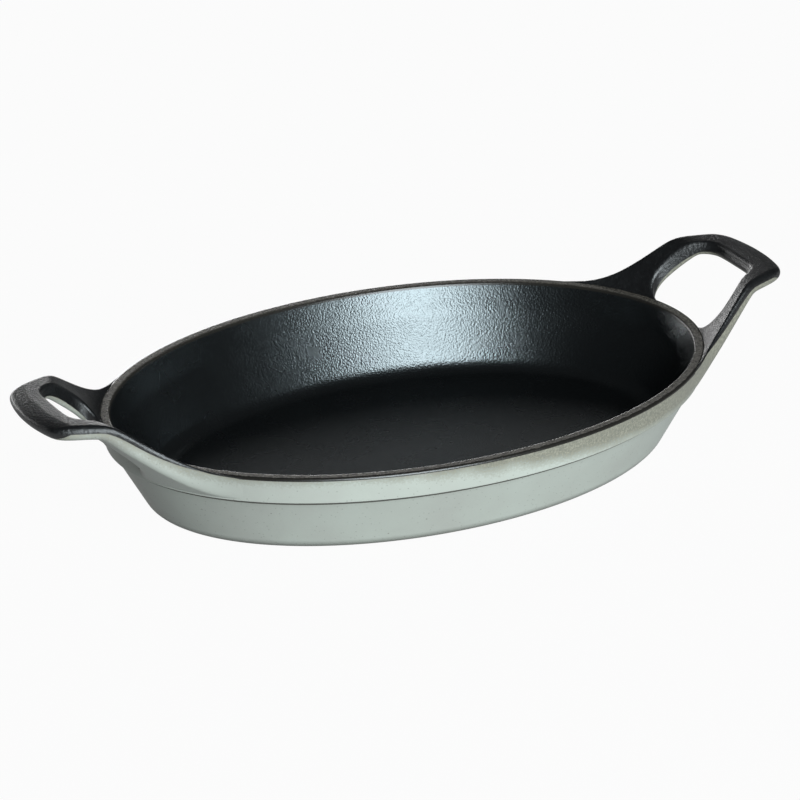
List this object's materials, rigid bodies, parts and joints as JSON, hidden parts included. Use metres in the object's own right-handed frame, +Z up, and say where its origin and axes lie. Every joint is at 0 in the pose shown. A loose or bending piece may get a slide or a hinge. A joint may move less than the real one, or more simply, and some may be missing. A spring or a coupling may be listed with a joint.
{
  "type": "oval cast iron baking dish",
  "caption": "Shallow oval cast iron baking dish with a dark enamel inside, pale grey enamel outside and raised loop handles at both ends.",
  "frame": {"origin": "centre of the flat base, on the plane it rests on", "axes": "+X along the dish through both handles, +Y across it, +Z up"},
  "size_m": [0.3606, 0.1986, 0.0623],
  "materials": {
    "cast_iron": "matt, as cast",
    "black_enamel": "matt with a fine grain",
    "rim_enamel": "satin, speckled",
    "grey_enamel": "gloss"
  },
  "bodies": {
    "root": {"iron_casting": "cast_iron", "interior_enamel": "black_enamel", "rim_enamel": "rim_enamel", "exterior_enamel": "grey_enamel", "base_enamel": "grey_enamel", "left_handle_enamel": "black_enamel", "right_handle_enamel": "black_enamel"}
  },
  "joints": []
}
